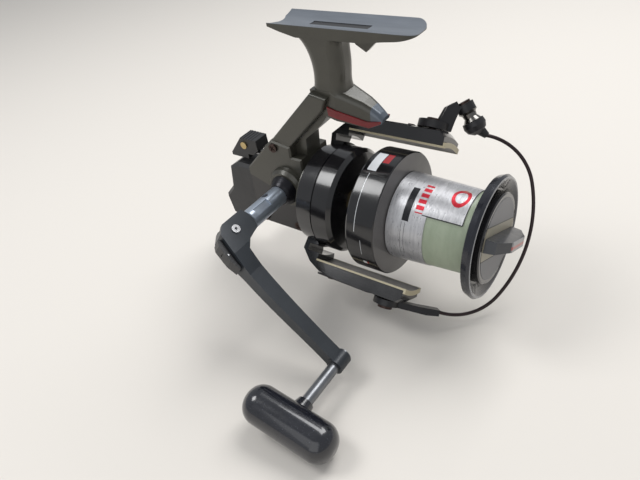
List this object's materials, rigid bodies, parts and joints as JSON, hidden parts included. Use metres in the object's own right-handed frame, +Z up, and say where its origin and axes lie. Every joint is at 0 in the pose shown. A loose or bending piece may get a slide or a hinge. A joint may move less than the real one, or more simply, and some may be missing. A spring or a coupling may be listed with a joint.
{
  "type": "spinning fishing reel",
  "caption": "Large fixed-spool spinning reel with tapered long-cast spool, folding crank handle, full bail and straight rod foot.",
  "frame": {"origin": "centre of the foot's top face, where it lies against the rod", "axes": "+X forward to the rod tip along the spool's axis, +Z up towards the rod, +Y left; the handle is on -Y"},
  "size_m": [0.185, 0.1731, 0.1543],
  "materials": {
    "frame_grey": "satin bronze grey",
    "black_plastic": "satin moulded",
    "gloss_black": "gloss",
    "lip_blue_black": "gloss anodised",
    "badge_red": "gloss",
    "dark_steel": "dark plated",
    "steel": "machined",
    "bright_alloy": "bright turned",
    "gear_alloy": "cast",
    "arm_blue_grey": "satin",
    "brass": "machined",
    "trim_grey": "satin",
    "bail_metal": "satin black",
    "line_green": "wound clear line",
    "label_silver": "foil",
    "felt": "pressed felt"
  },
  "bodies": {
    "frame": {"body_frame": "frame_grey", "foot_inlay": "black_plastic", "nose_cap": "black_plastic", "nose_badges": "badge_red", "side_cover": "frame_grey", "cover_screws": "dark_steel", "rear_cover": "black_plastic", "shaft_bearings": "steel", "bearing_cap": "black_plastic", "pinion_bearing": "steel", "bearing_retainer": "steel"},
    "handle_crank": {"drive_gear": "gear_alloy", "handle_collar": "bright_alloy", "handle_sleeve": "bright_alloy", "sleeve_screw": "dark_steel", "fold_pin": "steel"},
    "handle_arm": {"handle_arm": "arm_blue_grey", "knob_shaft": "steel", "release_pin": "steel"},
    "release": {"release_lever": "black_plastic"},
    "knob": {"handle_knob": "gloss_black"},
    "rotor": {"rotor": "gloss_black", "arm_covers": "black_plastic", "arm_cover_screws": "dark_steel", "arm_trims": "trim_grey", "bail_pivot_screws": "dark_steel", "counterweight": "brass", "bail_spring": "steel", "pinion": "brass", "ratchet_wheel": "steel", "rotor_nut": "brass"},
    "trip_rod": {"trip_rod": "steel"},
    "bail": {"bail_lever": "bail_metal", "roller_screw": "dark_steel", "roller_bush": "trim_grey", "wire_holder": "bail_metal", "bail_wire": "dark_steel", "bail_arm": "bail_metal"},
    "line_roller": {"line_roller": "bright_alloy"},
    "main_shaft": {"main_shaft": "steel", "slider_block": "brass", "drag_washers": "steel"},
    "spool": {"spool_body": "gloss_black", "lip_ring": "lip_blue_black", "line_fill": "line_green", "label_band": "label_silver", "click_wheel": "trim_grey", "drag_felts": "felt", "drag_clip": "steel"},
    "drag_knob": {"drag_knob": "gloss_black", "drag_nut": "brass", "drag_spring": "steel", "drag_face": "trim_grey", "drag_bar": "gloss_black"},
    "worm": {"crosswind_worm": "steel"},
    "anti_reverse": {"anti_reverse_lever": "black_plastic", "lever_rivet": "brass", "anti_reverse_rod": "steel"}
  },
  "joints": [
    {"name": "handle_turn", "type": "hinge", "parent": "frame", "child": "handle_crank", "pos_m": [-0.0427, 0, -0.0917], "axis": [0, 1, 0], "continuous": true},
    {"name": "handle_fold", "type": "hinge", "parent": "handle_crank", "child": "handle_arm", "pos_m": [-0.0427, -0.061, -0.0917], "axis": [-0.6027, 0, -0.798], "range_deg": [0, 90]},
    {"name": "release_press", "type": "hinge", "parent": "handle_arm", "child": "release", "pos_m": [-0.03711, -0.0731, -0.09592], "axis": [0.6027, 0, 0.798], "range_deg": [0, 4]},
    {"name": "knob_spin", "type": "hinge", "parent": "handle_arm", "child": "knob", "pos_m": [0.0239, -0.1133, -0.142], "axis": [0, 1, 0], "continuous": true},
    {"name": "rotor_spin", "type": "hinge", "parent": "frame", "child": "rotor", "pos_m": [0, 0, -0.0992], "axis": [1, 0, 0], "continuous": true},
    {"name": "worm_spin", "type": "hinge", "parent": "frame", "child": "worm", "pos_m": [-0.06, 0, -0.1119], "axis": [1, 0, 0], "continuous": true},
    {"name": "bail_swing", "type": "hinge", "parent": "rotor", "child": "bail", "pos_m": [0.027, 0, -0.0992], "axis": [0, -0.6157, -0.788], "range_deg": [0, 110]},
    {"name": "trip_slide", "type": "slide", "parent": "rotor", "child": "trip_rod", "axis": [-1, 0, 0], "range_m": [0, 0.0031]},
    {"name": "line_roller_spin", "type": "hinge", "parent": "bail", "child": "line_roller", "pos_m": [0.04125, 0.04296, -0.06043], "axis": [0.5587, -0.142, -0.8171], "continuous": true},
    {"name": "spool_stroke", "type": "slide", "parent": "frame", "child": "main_shaft", "axis": [1, 0, 0], "range_m": [-0.025, 0.006]},
    {"name": "spool_slip", "type": "hinge", "parent": "main_shaft", "child": "spool", "pos_m": [0.05, 0, -0.0992], "axis": [1, 0, 0], "continuous": true},
    {"name": "drag_turn", "type": "hinge", "parent": "main_shaft", "child": "drag_knob", "pos_m": [0.075, 0, -0.0992], "axis": [1, 0, 0], "range_deg": [-360, 360]},
    {"name": "anti_reverse_switch", "type": "hinge", "parent": "frame", "child": "anti_reverse", "pos_m": [-0.07, -0.002, -0.0815], "axis": [1, 0, 0], "range_deg": [0, 28]}
  ],
  "couplings": [
    {"joint": "rotor_spin", "follows": "handle_turn", "ratio": -4.1},
    {"joint": "worm_spin", "follows": "handle_turn", "ratio": 2.4},
    {"joint": "trip_slide", "follows": "bail_swing", "m_per_rad": 0.0015626}
  ]
}
